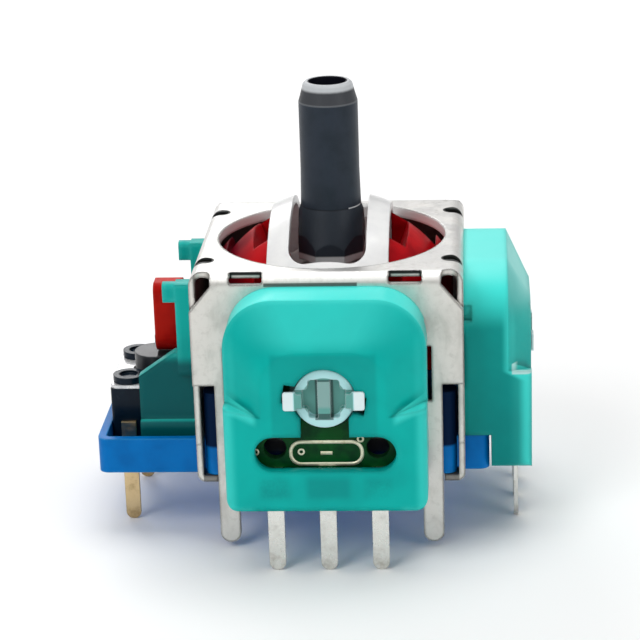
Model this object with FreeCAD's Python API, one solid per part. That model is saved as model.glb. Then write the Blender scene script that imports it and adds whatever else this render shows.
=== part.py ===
import FreeCAD, Part
import math
import os

# Two-axis analog stick module of a game controller. A folded steel cage holds two crossed
# gimbal arms. The lever passes through both. Each arm turns the rotor of one potentiometer,
# and pushing the lever down swings the lower arm's free end onto a small push switch.
# Millimetres. Origin on the lever's axis at the circuit board's face, X towards the side
# potentiometer, -Y towards the front one, +Z up along the lever.

V = FreeCAD.Vector

# Folded steel cage
sheet = 0.3                 # steel thickness
cage_half = 6.55            # lever axis to the outside of a wall
cage_top = 10.75
bend_radius = 0.6           # outside radius of the top folds
rim_width = 0.9             # top sheet left beside the round hole
lip_drop = 0.5              # down-turned lip round the hole
wall_end = 5.15             # height where a wall narrows to its legs and tabs
middle_end = 2.0            # height where the middle of a wall stops
leg_width = 1.0
leg_inset = 1.55            # cage wall to the middle of a leg
leg_tip = -3.05
tab_inset = 0.35
tab_width = 1.0
hook_reach = 1.0
hook_bend = 0.1             # inside radius of the hooks
hook_low = 0.02             # hooks lie just inside the base's underside
notch_inset = 0.25          # open top corners
notch_width = 0.8
bevel_drop = 1.85           # slanted corners of the front and back walls
slot_inset = 1.95           # long slots on the front fold
slot_length = 1.6
slot_depth = 0.5            # in the top sheet and down the wall
moon_inset_x = 0.55         # small D-shaped holes near the corners
moon_inset_y = 2.4
moon_radius = 0.42
clip_slot_width = 0.5
clip_slot_low = 4.3
clip_slot_high = 7.1

cage_inner = cage_half - sheet
hole_radius = cage_half - rim_width
leg_middle = cage_half - leg_inset
tab_outer = cage_half - tab_inset
tab_inner = tab_outer - tab_width

# Gimbal
gimbal_z = 5.6
tilt = 20.0                 # degrees each way
press = 0.92                # degrees at the lower arm's pivot
fit_gap = 0.05              # radial play of a shaft in its bore
rim_gap = 0.12              # play between the arch and the cage's lip
shell_gap = 0.1             # play between nested domes
arm_gap = 0.15              # play between an arm and a fixed wall

# Upper arm, the white arch
arch_wall = 0.4
arch_half_width = 2.95
arch_slot_half = 1.88
arch_slot_room = 1.0        # slot length beyond what the lever needs
arch_leg_wall = 0.6
arch_leg_half = 1.9
arm_shaft_radius = 1.15
tongue_width = 1.0
tongue_height = 2.0

lip_low = cage_top - lip_drop - gimbal_z
arch_outer = math.hypot(hole_radius, lip_low) - rim_gap
arch_inner = arch_outer - arch_wall
arch_end = cage_inner - arm_gap
leg_inner = arch_end - arch_leg_wall

# Lever
lever_radius = 1.5
lever_top_radius = 1.46
lever_nose_radius = 1.22
lever_bore_radius = 0.93
lever_bore_depth = 7.0
lever_step_z = 12.4
lever_grip_z = 14.2         # plain cylinder for a cap from here up
lever_shoulder_z = 17.6
lever_top = 18.6
foot_flat = 1.6
foot_half_y = 2.05
foot_radius = 2.5           # cone of the foot at its lower end
foot_corner = 1.95
stem_half = 0.9
stem_radius = 1.4
hub_radius = 1.5
hub_half = 1.6
pin_radius = 0.6

# Lower arm: two red lobes joined by a low bowl
lobe_inner = 2.9
wing_inner = 3.6            # beyond the arch's legs the lobes are longer
wing_half_y = 4.7
bowl_radius = 4.6
bowl_wall = 0.7
bowl_floor = -0.4           # lower edge, from the gimbal centre
rib_wall = 0.7
rib_drop = 1.2
end_wall = 1.0
end_radius = 2.4
end_gap = 0.3               # end wall to the cage
paddle_neck = 1.1           # cage wall to the paddle
paddle_length = 1.4
paddle_radius = 0.82
paddle_top = 2.85
paddle_corner = 0.45

lobe_radius = arch_inner - shell_gap
collar_radius = arch_outer - shell_gap
end_face = cage_inner - end_gap
paddle_inner = cage_half + paddle_neck
paddle_outer = paddle_inner + paddle_length
press_pivot_x = cage_half + 0.65

# Switch guide, the teal bracket on the left wall
guide_plate = 0.5
guide_reach = 1.0           # ribs, out from the wall
guide_slot_half = 1.4
guide_slot_top = 8.0
guide_plate_low = 4.15
guide_plate_top = 8.9
rib_room = 0.35             # beside the switch
rib_width = 0.9
rib_low = 4.75
rib_top = 9.45
peg_reach = 0.62
peg_low = 8.45
peg_near = 0.15
peg_far = 0.1
gusset_room = 0.15          # beside the switch
gusset_width = 0.7
gusset_reach = 3.05
gusset_edge_z = 4.55
gusset_top_z = 5.8
gusset_top_x = 1.25
guide_foot_width = 1.05
guide_foot_top = 2.3
guide_foot_edge = 0.3

# Push switch
switch_reach = 2.6          # cage wall to the button's axis
switch_half_x = 2.05
switch_half_y = 2.65
switch_top = 3.6
cover_wall = 0.18
cover_corner = 0.35
rivet_x = 1.2
rivet_inset = 0.8
rivet_radius = 0.78
rivet_stem = 0.42
rivet_height = 0.35
button_radius = 1.1
button_flange = 1.3
button_flange_low = 3.05
button_flange_high = 3.45
snap_radius = 1.4
snap_rise = 0.3
snap_wall = 0.1
switch_well_radius = 1.6
switch_well_floor = 2.4
terminal_width = 0.75
terminal_wall = 0.2
terminal_back = 1.2         # button's axis to a terminal
terminal_top = 1.9
terminal_tip = -3.35

switch_x = -cage_half - switch_reach
terminal_x = switch_x - terminal_back
rivet_y = switch_half_y - rivet_inset
rib_inner = switch_half_y + rib_room
rib_outer = rib_inner + rib_width
peg_inner = rib_inner + peg_near
peg_outer = rib_outer - peg_far
gusset_inner = switch_half_y + gusset_room
gusset_outer = gusset_inner + gusset_width
guide_foot_outer = gusset_inner + guide_foot_width

# Blue base
base_top = 1.78
base_gap = 0.1
base_corner = 0.5
tray_side_room = 1.0        # bracket's ribs to the outside of the tray
tray_end_room = 0.45        # switch to the outside of the tray
base_front_reach = 1.19     # under the potentiometers, out from the cage
base_right_half = 4.7
base_front_half = 4.4
tray_wall = 0.4
tray_floor = 0.5
recess_radius = 4.3
recess_floor = 0.6
post_width = 1.2
post_top = 4.6
spring_post_radius = 0.8
spring_post_top = 2.6

base_left = -switch_x + switch_half_x + tray_end_room
base_left_half = rib_outer + tray_side_room
base_right = cage_half + base_front_reach
tray_inner = cage_half + 0.2

# Return spring and its holder
spring_radius = 1.75
spring_wire = 0.28
spring_turns = 2.5
holder_radius = 2.5
holder_wall = 0.45
holder_top = 3.35
holder_sleeve_wall = 0.35
holder_sleeve_drop = 0.7

# Potentiometer, built facing -Y
pot_depth = 3.28            # cage wall to the potentiometer's face
pot_half = 4.8
pot_low = 0.0
pot_top = 10.15
pot_corner = 2.4            # upper corners
pot_foot_corner = 0.6
pot_edge = 0.35             # rounding of the lower block's upright edges
bevel_depth = 1.15          # face to where the bevel of the upper part begins
bevel_side = 1.8
bevel_top = 2.2
crease_z = 4.7             # where the bevel ends on the face
crease_side_z = 5.15         # and on the sides
pot_step_gap = 0.1          # the lower part stands clear of the base
pot_step_z = 1.82
pot_hole_radius = 1.52
pot_wall = 0.55
board_seat = 1.43           # face to the ledge that the board lies against
pocket_half = 2.45          # thin-walled area round the rotor
pocket_top = 7.7
cavity_side = 0.8
cavity_low = 0.45
cavity_top = 9.1
window_half = 3.35
window_low = 2.0
window_high = 3.75
neck_half = 1.15
lug_notch_turn = 10.0
clip_notch_low = 7.7
clip_notch_high = 8.5
clip_notch_depth = 0.35
board_depth = 0.88          # face to the board
board_wall = 0.5
board_gap = 0.15
board_shoulder = 4.5
board_tongue_half = 2.35
board_top = 7.6
board_low = 0.65
board_hole_gap = 0.17
board_post_x = 2.45
board_post_radius = 0.55
nose_sink = 0.23
nose_gap = 0.08
nose_wall = 0.65            # solid front of the rotor's nose
flange_radius = 3.0
flange_wall = 0.45
flange_gap = 0.12
hub_outer = 1.85
lug_inner = 1.27
lug_outer = 1.92
lug_half = 0.46
lug_rise = 0.15
lug_gap = 0.04
bar_half = 0.3
bar_recess = 0.75           # recess beside the bar reaches this far out
bar_recess_half = 0.95
bar_recess_depth = 0.35
wiper_wall = 0.06
wiper_outer = 2.75
wiper_inner = 2.0
pin_pitch = 2.5
pin_width = 0.8
pin_wall = 0.22
pin_top = 1.9
pin_tip = -3.35

pot_face = cage_half + pot_depth
bevel_start = pot_face - bevel_depth
pot_step = base_right + pot_step_gap
cavity_depth = pot_face - board_seat
cavity_half = pot_half - cavity_side
board_face = pot_face - board_depth
board_half = cavity_half - board_gap
board_hole_radius = pot_hole_radius + board_hole_gap
nose_face = pot_face - nose_sink
nose_radius = pot_hole_radius - nose_gap
hub_back = cage_half + 0.2
lug_face = pot_face + lug_rise
tongue_end = nose_face - nose_wall - fit_gap


def frame_point(axis, u, v, along):
    # Profile coordinates: (x, y) along z, (x, z) along y, (y, z) along x.
    if axis == "z":
        return V(u, v, along)
    if axis == "y":
        return V(u, along, v)
    return V(along, u, v)


def outline(axis, along, points, radii):
    # Closed wire through the points, each corner rounded by its own radius.
    edges = []
    last = None
    first = None
    count = len(points)
    for i in range(count):
        corner = V(*points[i], 0)
        before = (V(*points[i - 1], 0) - corner).normalize()
        after = (V(*points[(i + 1) % count], 0) - corner).normalize()
        radius = radii[i]
        if radius > 0:
            half = before.getAngle(after) / 2
            run = radius / math.tan(half)
            middle = (before + after).normalize()
            start = corner + before * run
            end = corner + after * run
            mid = corner + middle * (radius / math.sin(half) - radius)
        else:
            start = end = corner
        if last is not None and (start - last).Length > 1e-6:
            edges.append(("line", last, start))
        if radius > 0:
            edges.append(("arc", start, mid, end))
        if first is None:
            first = start
        last = end
    if (first - last).Length > 1e-6:
        edges.append(("line", last, first))
    shapes = []
    for kind, *ends in edges:
        placed = [frame_point(axis, p.x, p.y, along) for p in ends]
        if kind == "line":
            shapes.append(Part.LineSegment(*placed).toShape())
        else:
            shapes.append(Part.Arc(*placed).toShape())
    return Part.Wire(shapes)


def prism(axis, start, end, points, radii=0):
    if not isinstance(radii, (list, tuple)):
        radii = [radii] * len(points)
    face = Part.Face(outline(axis, start, points, radii))
    return face.extrude(frame_point(axis, 0, 0, end - start))


def box(x0, x1, y0, y1, z0, z1):
    low = V(min(x0, x1), min(y0, y1), min(z0, z1))
    return Part.makeBox(abs(x1 - x0), abs(y1 - y0), abs(z1 - z0), low)


def rect(u0, u1, v0, v1):
    return [(u0, v0), (u1, v0), (u1, v1), (u0, v1)]


def rod(axis, radius, start, end, u=0.0, v=0.0):
    low = min(start, end)
    direction = frame_point(axis, 0, 0, 1)
    return Part.makeCylinder(radius, abs(end - start), frame_point(axis, u, v, low), direction)


def turned(points):
    # Solid turned about the Z axis from (radius, height) points.
    wire = Part.makePolygon([V(r, 0, z) for r, z in points + points[:1]])
    return Part.Face(wire).revolve(V(0, 0, 0), V(0, 0, 1), 360)


def ball(radius):
    return Part.makeSphere(radius, V(0, 0, gimbal_z))


def shell_slice(outer, inner, half_x, half_y, low):
    # Piece of a thick dome about the gimbal centre.
    limits = box(-half_x, half_x, -half_y, half_y, gimbal_z + low, gimbal_z + outer + 1)
    return ball(outer).common(limits).cut(ball(inner))


def reach(radius, part_radius, clearance):
    # How far a part at this radius swings sideways at full tilt.
    angle = math.radians(tilt) + math.asin(part_radius / radius)
    return radius * math.sin(angle) + clearance


def held_back(radius):
    # Half width that a dome may have so that, tilted, it stays inside the arch's legs.
    angle = math.asin((leg_inner - arm_gap) / radius) - math.radians(tilt)
    return radius * math.sin(angle)


def merged(first, *others):
    return first.fuse(list(others)).removeSplitter()


def vault(half, top, radius, low):
    profile = rect(-half, half, low, top)
    corners = [0, 0, radius, radius]
    return prism("y", -half, half, profile, corners).common(prism("x", -half, half, profile, corners))


def cage():
    shell = vault(cage_half, cage_top, bend_radius, 0)
    shell = shell.cut(vault(cage_inner, cage_top - sheet, bend_radius - sheet, -1))
    lip = rod("z", hole_radius + sheet, cage_top - lip_drop, cage_top - sheet)
    shell = shell.fuse(lip).cut(rod("z", hole_radius, 0, cage_top + 1))
    far = cage_half + 1
    above = cage_top + 1
    leg_out = leg_middle + leg_width / 2
    leg_in = leg_middle - leg_width / 2
    notch_outer = cage_half - notch_inset
    notch_inner = notch_outer - notch_width
    fold = cage_half - bend_radius
    slot_out = cage_half - slot_inset
    slot_in = slot_out - slot_length
    cuts = []
    for side in (-1, 1):
        wall = (side * cage_inner, side * far)
        cuts.append(box(-leg_in, leg_in, *wall, -1, middle_end))
        cuts.append(box(*wall, -tab_inner, tab_inner, -1, middle_end))
        # Long slots on the front fold, open through the top sheet and the wall.
        slot_plan = rect(side * slot_in, side * slot_out, -(cage_half - slot_depth), -far)
        slot_rise = rect(side * slot_in, side * slot_out, cage_top - slot_depth, above)
        slot = prism("z", 0, above, slot_plan, [0.12, 0.12, 0, 0])
        cuts.append(slot.common(prism("y", 0, -far, slot_rise, [0.12, 0.12, 0, 0])))
        for end in (-1, 1):
            wall = (end * cage_inner, end * far)
            cuts.append(box(side * leg_out, side * far, *wall, -1, wall_end))
            notch = rect(side * notch_inner, side * notch_outer, end * fold, end * far)
            round_end = notch_width / 2 - 0.01
            notch = prism("z", cage_top - 2 * bend_radius, above, notch, [round_end, round_end, 0, 0])
            bevel = [(side * notch_inner, above), (side * notch_inner, cage_top - bend_radius),
                     (side * cage_half, cage_top - bevel_drop), (side * far, cage_top - bevel_drop),
                     (side * far, above)]
            cuts.append(prism("y", *wall, bevel))
            cuts.append(notch.common(prism("y", 0, end * far, bevel)))
            moon_x = cage_half - moon_inset_x
            moon_y = cage_half - moon_inset_y
            moon = rod("z", moon_radius, cage_top - 2 * sheet, above, side * moon_x, end * moon_y)
            flat = box(-far, far, end * (moon_y + moon_radius / 2), end * far, 0, above)
            cuts.append(moon.cut(flat))
            low = rect(side * cage_inner, side * far, end * tab_inner, end * cage_half)
            cuts.append(prism("z", -1, middle_end, low))
        clip_x = leg_middle - clip_slot_width / 2
        clip = rect(side * (clip_x - clip_slot_width / 2), side * (clip_x + clip_slot_width / 2),
                    clip_slot_low, clip_slot_high)
        cuts.append(prism("y", -cage_inner, -far, clip))
        cuts.append(prism("x", cage_inner, far, clip))
    bore = arm_shaft_radius + fit_gap
    cuts.append(rod("y", bore, -far, far, 0, gimbal_z))
    cuts.append(rod("x", bore + fit_gap / 2, 0, far, 0, gimbal_z))
    drop = math.radians(press) * (press_pivot_x + cage_half)
    low = gimbal_z - arm_shaft_radius - drop - arm_gap
    high = gimbal_z + arm_shaft_radius + arm_gap
    half = arm_shaft_radius + arm_gap
    cuts.append(prism("x", -far, -cage_inner + 0.1, rect(-half, half, low, high), half - 0.01))
    shell = shell.cut(cuts)
    extras = []
    hook_top = hook_low + sheet
    for side in (-1, 1):
        for end in (-1, 1):
            leg = rect(side * leg_in, side * leg_out, leg_tip, middle_end)
            tip = leg_width / 2 - 0.01
            extras.append(prism("y", end * cage_inner, end * cage_half, leg, [tip, tip, 0, 0]))
            hook_tip = side * (cage_half - hook_reach)
            hook = [(side * cage_inner, middle_end), (side * cage_half, middle_end),
                    (side * cage_half, hook_low), (hook_tip, hook_low),
                    (hook_tip, hook_top), (side * cage_inner, hook_top)]
            extras.append(prism("y", end * tab_inner, end * tab_outer, hook,
                                [0, 0, hook_bend + sheet, 0, 0, hook_bend]))
    return shell.fuse(extras).removeSplitter()


def base():
    inner = cage_inner - base_gap
    body = prism("z", 0, base_top, rect(-inner, inner, -inner, inner), base_corner)
    left = prism("z", 0, base_top, rect(-base_left, 0, -base_left_half, base_left_half),
                 [base_corner, 0, 0, base_corner])
    right = prism("z", 0, base_top, rect(0, base_right, -base_right_half, base_right_half),
                  [0, base_corner, base_corner, 0])
    front = prism("z", 0, base_top, rect(-base_front_half, base_front_half, -base_right, 0),
                  [base_corner, base_corner, 0, 0])
    posts = []
    for side in (-1, 1):
        for end in (-1, 1):
            outer = inner - post_width
            plan = rect(side * outer, side * inner, end * outer, end * inner)
            posts.append(prism("z", 0, post_top, plan, base_corner))
    body = body.fuse([left, right, front] + posts)
    tray_half = base_left_half - tray_wall
    tray = prism("z", tray_floor, base_top + 1,
                 rect(tray_wall - base_left, -tray_inner, -tray_half, tray_half), 0.2)
    recess = rod("z", recess_radius, recess_floor, base_top + 1)
    body = body.cut([tray, recess])
    for end in (-1, 1):
        slot = terminal_plan(end, fit_gap)
        body = body.cut(prism("z", 0, base_top, slot))
        for side in (-1, 1):
            hook_room = hook_low + sheet + fit_gap
            room = rect(side * (cage_half - hook_reach - fit_gap), side * cage_half,
                        end * (tab_inner - fit_gap), end * cage_half)
            body = body.cut(prism("z", 0, hook_room, room))
    return merged(body, rod("z", spring_post_radius, 0, spring_post_top))


def swung_slot(half_width, half_length, low, high):
    # Straight slot along Y through a dome, round-ended in plan.
    plan = rect(-half_width, half_width, -half_length, half_length)
    return prism("z", gimbal_z + low, gimbal_z + high, plan, min(half_width, half_length) * 0.5)


def upper_arm():
    band = shell_slice(arch_outer, arch_inner, arch_half_width, arch_end, 0.8)
    slot_half = reach(arch_outer, lever_radius, shell_gap) + arch_slot_room
    band = band.cut(swung_slot(arch_slot_half, slot_half, 1, arch_outer + 1))
    parts = []
    outside = ball(arch_outer)
    for end in (-1, 1):
        leg = rod("y", arch_leg_half, end * leg_inner, end * arch_end, 0, gimbal_z)
        cheek = box(-arch_leg_half, arch_leg_half, end * leg_inner, end * arch_end,
                    gimbal_z, gimbal_z + arch_outer)
        parts.append(leg.fuse(cheek).common(outside))
    front_end = hub_back + 0.5
    parts.append(rod("y", arm_shaft_radius, -arch_end, -front_end, 0, gimbal_z))
    parts.append(rod("y", arm_shaft_radius, arch_end, cage_half + sheet, 0, gimbal_z))
    tongue = rect(-tongue_width / 2, tongue_width / 2,
                  gimbal_z - tongue_height / 2, gimbal_z + tongue_height / 2)
    parts.append(prism("y", -front_end, -tongue_end, tongue, 0.12))
    return merged(band, *parts)


def lower_arm():
    # Bowl under the lever's foot, with two higher lobes that fill the cage's round hole.
    half_y = held_back(lobe_radius)
    foot_room = foot_half_y + arm_gap
    floor_z = gimbal_z + bowl_floor
    arm = ball(bowl_radius).common(box(-end_face, end_face, -bowl_radius, bowl_radius, floor_z, cage_top))
    lobes = ball(lobe_radius).common(box(-end_face, end_face, -half_y, half_y, floor_z, cage_top + 2))
    lobes = lobes.cut(box(-lobe_inner, lobe_inner, -half_y, half_y, 0, cage_top + 2))
    # Outside the arch's swing a collar rises a little more, up to the cage's lip.
    swing = math.radians(tilt)
    arch_edge = math.sqrt(arch_outer ** 2 - arch_half_width ** 2)
    collar_inner = arch_half_width * math.cos(swing) + arch_edge * math.sin(swing) + arm_gap
    wings = []
    for side in (-1, 1):
        for radius, near in ((lobe_radius, wing_inner), (collar_radius, collar_inner)):
            limits = box(side * near, side * end_face, -wing_half_y, wing_half_y, floor_z, cage_top + 2)
            wings.append(ball(radius).common(limits))
    # Room for the foot, with sides slanted like the foot at full tilt.
    room_low = (foot_flat + arm_gap) / math.cos(swing)
    room_top = room_low + 8 * math.tan(swing)
    room = [(-room_low, gimbal_z), (room_low, gimbal_z), (room_top, gimbal_z + 8), (-room_top, gimbal_z + 8)]
    lobes = lobes.fuse(wings).cut(prism("y", -foot_room, foot_room, room))
    # Two ribs are left standing in the hollow and carry the lever's pin.
    rib_in = hub_half + arm_gap
    rib_out = rib_in + rib_wall
    rib_end = end_face - end_wall / 2
    hollow = ball(bowl_radius - bowl_wall)
    for end in (-1, 1):
        hollow = hollow.cut(box(-rib_end, rib_end, end * rib_in, end * rib_out, floor_z - 5, cage_top + 2))
    opening = reach(bowl_radius, stem_half, arm_gap)
    stem_room = stem_radius + arm_gap
    slot = prism("z", gimbal_z + 1, cage_top, rect(-opening, opening, -stem_room, stem_room), 0.5)
    arm = arm.fuse(lobes).cut([hollow, slot])
    parts = []
    for end in (-1, 1):
        parts.append(box(-rib_end, rib_end, end * rib_in, end * rib_out,
                         gimbal_z - rib_drop, gimbal_z + rib_drop))
        parts.append(rod("x", end_radius, end * (end_face - end_wall), end * end_face, 0, gimbal_z))
    neck = hub_back + 0.5
    parts.append(rod("x", arm_shaft_radius, end_face - 0.1, neck, 0, gimbal_z))
    tongue = rect(-tongue_width / 2, tongue_width / 2,
                  gimbal_z - tongue_height / 2, gimbal_z + tongue_height / 2)
    parts.append(prism("x", neck, tongue_end, tongue, 0.12))
    parts.append(rod("x", arm_shaft_radius, -end_face + 0.1, -paddle_inner, 0, gimbal_z))
    parts.append(rod("x", paddle_radius, -paddle_inner, -paddle_outer, 0, gimbal_z))
    blade = rect(-paddle_radius, paddle_radius, gimbal_z, gimbal_z + paddle_top)
    parts.append(prism("x", -paddle_outer, -paddle_inner, blade, [0, 0, paddle_corner, paddle_corner]))
    for part in parts:
        arm = arm.fuse(part)
    arm = arm.removeSplitter()
    return arm.cut(rod("y", pin_radius, -half_y, half_y, 0, gimbal_z))


def lever():
    base_radius = bowl_radius + shell_gap
    foot_z = gimbal_z + math.sqrt(base_radius ** 2 - foot_half_y ** 2) - 0.3
    body = turned([(0, foot_z), (lever_radius, foot_z), (lever_radius, lever_step_z),
                   (lever_top_radius, lever_grip_z), (lever_top_radius, lever_shoulder_z),
                   (lever_nose_radius, lever_top - 0.12), (lever_nose_radius - 0.12, lever_top),
                   (0, lever_top)])
    foot = turned([(0, foot_z), (foot_radius, foot_z), (lever_radius, lever_step_z), (0, lever_step_z)])
    foot = foot.common(box(-foot_flat, foot_flat, -foot_half_y, foot_half_y, foot_z, lever_step_z))
    flats = prism("z", foot_z, lever_step_z, rect(-foot_corner, foot_corner, -foot_corner, foot_corner))
    flats.rotate(V(0, 0, 0), V(0, 0, 1), 45)
    foot = merged(body, foot.common(flats)).cut(ball(base_radius))
    stem = rod("z", stem_radius, gimbal_z, lever_step_z)
    stem = stem.common(box(-stem_half, stem_half, -stem_radius, stem_radius, 0, lever_step_z))
    hub = rod("y", hub_radius, -hub_half, hub_half, 0, gimbal_z)
    # Rounded tail that the spring holder pushes up against, the same at any tilt.
    tail = ball(gimbal_z - holder_top - fit_gap)
    tail = tail.common(box(-hub_radius, hub_radius, -hub_half, hub_half, 0, gimbal_z))
    whole = merged(foot, stem, hub, tail)
    whole = whole.cut(rod("y", pin_radius + fit_gap, -hub_half, hub_half, 0, gimbal_z))
    bore = rod("z", lever_bore_radius, lever_top - lever_bore_depth, lever_top)
    return whole.cut(bore)


def lever_pin():
    half = hub_half + arm_gap + rib_wall
    return rod("y", pin_radius, -half, half, 0, gimbal_z)


def spring_holder():
    low = holder_top - holder_wall
    plate = rod("z", holder_radius, low, holder_top)
    bore = spring_post_radius + fit_gap
    sleeve = rod("z", bore + holder_sleeve_wall, low - holder_sleeve_drop, low)
    return merged(plate, sleeve).cut(rod("z", bore, 0, low))


def return_spring():
    # Half turns in planes tilted to and fro, so that each runs smoothly into the next.
    low = recess_floor + spring_wire / 2
    rise = (holder_top - holder_wall - low - spring_wire / 2) / spring_turns / 2
    halves = []
    for i in range(round(2 * spring_turns)):
        side = 1 if i % 2 == 0 else -1
        centre = V(0, 0, low + (i + 0.5) * rise)
        start = centre + V(side * spring_radius, 0, -rise / 2)
        ring = Part.Face(Part.Wire(Part.Circle(start, V(0, 1, 0), spring_wire / 2).toShape()))
        normal = (start - centre).cross(V(0, side, 0)).normalize()
        halves.append(ring.revolve(centre, normal, 180))
    return halves[0].fuse(halves[1:])


def terminal_plan(end, gap=0.0):
    half = terminal_width / 2 + gap
    return rect(terminal_x - half, terminal_x + half, end * (switch_half_y - gap),
                end * (switch_half_y + terminal_wall + gap))


def switch_body():
    block = prism("z", tray_floor, switch_top,
                  rect(switch_x - switch_half_x, switch_x + switch_half_x,
                       -switch_half_y, switch_half_y), 0.15)
    well = rod("z", switch_well_radius, switch_well_floor, switch_top, switch_x, 0)
    block = block.cut(well)
    cover_top = switch_top + cover_wall
    rivets = []
    for side in (-1, 1):
        for end in (-1, 1):
            place = (switch_x + side * rivet_x, end * rivet_y)
            stem = rod("z", rivet_stem, switch_top - 0.1, cover_top, *place)
            head = rod("z", rivet_radius, cover_top, cover_top + rivet_height, *place)
            dish = rod("z", rivet_radius * 0.6, cover_top + rivet_height * 0.6, cover_top + 1, *place)
            rivets += [stem, head.cut(dish)]
    return merged(block, *rivets)


def switch_cover():
    plate = prism("z", switch_top, switch_top + cover_wall,
                  rect(switch_x - switch_half_x, switch_x + switch_half_x,
                       -switch_half_y, switch_half_y), cover_corner)
    holes = [rod("z", button_radius + 2 * fit_gap, 0, 9, switch_x, 0)]
    for side in (-1, 1):
        for end in (-1, 1):
            holes.append(rod("z", rivet_stem, 0, 9, switch_x + side * rivet_x, end * rivet_y))
    return plate.cut(holes)


def switch_button():
    top = gimbal_z - paddle_radius - fit_gap
    stem = rod("z", button_radius, button_flange_low, top, switch_x, 0)
    flange = rod("z", button_flange, button_flange_low, button_flange_high, switch_x, 0)
    return merged(stem, flange)


def switch_dome():
    radius = (snap_radius ** 2 + snap_rise ** 2) / (2 * snap_rise)
    centre = V(switch_x, 0, switch_well_floor + snap_rise - radius)
    cap = Part.makeSphere(radius, centre).cut(Part.makeSphere(radius - snap_wall, centre))
    return cap.common(rod("z", snap_radius, switch_well_floor, switch_top, switch_x, 0))


def switch_terminal(end):
    half = terminal_width / 2
    side = rect(terminal_x - half, terminal_x + half, terminal_tip, terminal_top)
    near = end * switch_half_y
    return prism("y", near, near + end * terminal_wall, side, [half - 0.01, half - 0.01, 0, 0])


def switch_guide():
    wall = -cage_half
    plate = box(wall - guide_plate, wall, -rib_inner, rib_inner, guide_plate_low, guide_plate_top)
    window = prism("x", wall - guide_plate - 1, wall + 1,
                   rect(-guide_slot_half, guide_slot_half, 0, guide_slot_top),
                   [0, 0, guide_slot_half / 2, guide_slot_half / 2])
    parts = []
    out = wall - guide_reach
    for end in (-1, 1):
        parts.append(box(out, wall, end * rib_inner, end * rib_outer, rib_low, rib_top))
        peg = rect(end * peg_inner, end * peg_outer, peg_low, rib_top)
        parts.append(prism("x", out - peg_reach, out, peg, 0.2))
        gusset = [(wall, tray_floor), (wall, gusset_top_z), (wall - gusset_top_x, gusset_top_z),
                  (wall - gusset_reach, gusset_edge_z), (wall - gusset_reach, tray_floor)]
        parts.append(prism("y", end * gusset_inner, end * gusset_outer, gusset))
        foot = rect(end * gusset_inner, end * guide_foot_outer, tray_floor, guide_foot_top)
        rounds = [0, 0, guide_foot_edge, 0]
        block = prism("x", wall - gusset_reach, wall - 2 * base_gap, foot, rounds)
        parts.append(block)
    solid = merged(plate.cut(window), *parts)
    # The lower part stands in the base's tray, clear of the cage's wall line.
    clear = box(wall - 2 * base_gap, 0, -cage_half, cage_half, 0, middle_end)
    return solid.cut(clear)


def pot_outline(inset, top_drop):
    half = pot_half - inset
    top = pot_top - top_drop
    corner = pot_corner
    return rect(-half, half, pot_low, top), [pot_foot_corner, pot_foot_corner, corner, corner]


def pot_housing():
    points, rounds = pot_outline(0, 0)
    back = prism("y", -bevel_start, -cage_half, points, rounds)
    near_points, near_rounds = pot_outline(bevel_side, bevel_top)
    near_rounds = [pot_foot_corner, pot_foot_corner, pot_corner - 0.6, pot_corner - 0.6]
    far_wire = outline("y", -bevel_start, points, rounds)
    near_wire = outline("y", -pot_face, near_points, near_rounds)
    bevel = Part.makeLoft([far_wire, near_wire], True, True)
    block_points = [(-pot_half, pot_low), (pot_half, pot_low), (pot_half, crease_side_z),
                    (pot_half - bevel_side, crease_z), (bevel_side - pot_half, crease_z),
                    (-pot_half, crease_side_z)]
    block = prism("y", -pot_face, -cage_half, block_points, [pot_foot_corner, pot_foot_corner, 0, 0, 0, 0])
    plan = rect(-pot_half, pot_half, -pot_face, -cage_half)
    block = block.common(prism("z", 0, pot_top, plan, [pot_edge, pot_edge, 0, 0]))
    body = merged(back, bevel, block)
    face = pot_face + 1
    cuts = [box(-pot_half - 1, pot_half + 1, -pot_step, 0, -1, pot_step_z)]
    cuts.append(prism("y", -cavity_depth, -cage_half + 1,
                      rect(-cavity_half, cavity_half, pot_step_z + pot_wall, cavity_top),
                      [0.3, 0.3, pot_corner - 0.8, pot_corner - 0.8]))
    cuts.append(box(-cavity_half, cavity_half, wall_depth(), -cavity_depth + 0.1, cavity_low, crease_z - 0.4))
    cuts.append(box(-pocket_half, pocket_half, wall_depth(), -cavity_depth + 0.1, crease_z - 1, pocket_top))
    stadium = (window_high - window_low) / 2 - 0.01
    cuts.append(prism("y", -face, -cavity_depth, rect(-window_half, window_half, window_low, window_high),
                      stadium))
    cuts.append(box(-neck_half, neck_half, -face, -cavity_depth, window_high - 0.2, gimbal_z - 1))
    cuts.append(rod("y", pot_hole_radius, -face, -cavity_depth, 0, gimbal_z))
    for side in (-1, 1):
        notch = box(side * lug_inner, side * (lug_outer + fit_gap), -face, -cavity_depth,
                    gimbal_z - lug_half, gimbal_z + lug_half)
        notch.rotate(V(0, 0, gimbal_z), V(0, 1, 0), lug_notch_turn)
        cuts.append(notch)
        cuts.append(box(side * (pot_half - clip_notch_depth), side * (pot_half + 1), -cage_half - 0.4,
                        -cage_half + 1, clip_notch_low, clip_notch_high))
    for i in (-1, 0, 1):
        cuts.append(pin_hole(i))
    return body.cut(cuts)


def wall_depth():
    # Inside of the housing's face, over the board.
    return -(pot_face - pot_wall)


def pin_hole(i):
    half = pin_width / 2 + fit_gap
    return box(i * pin_pitch - half, i * pin_pitch + half, -board_face - pin_wall - fit_gap,
               -board_face + fit_gap, -1, cavity_low + 0.1)


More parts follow.
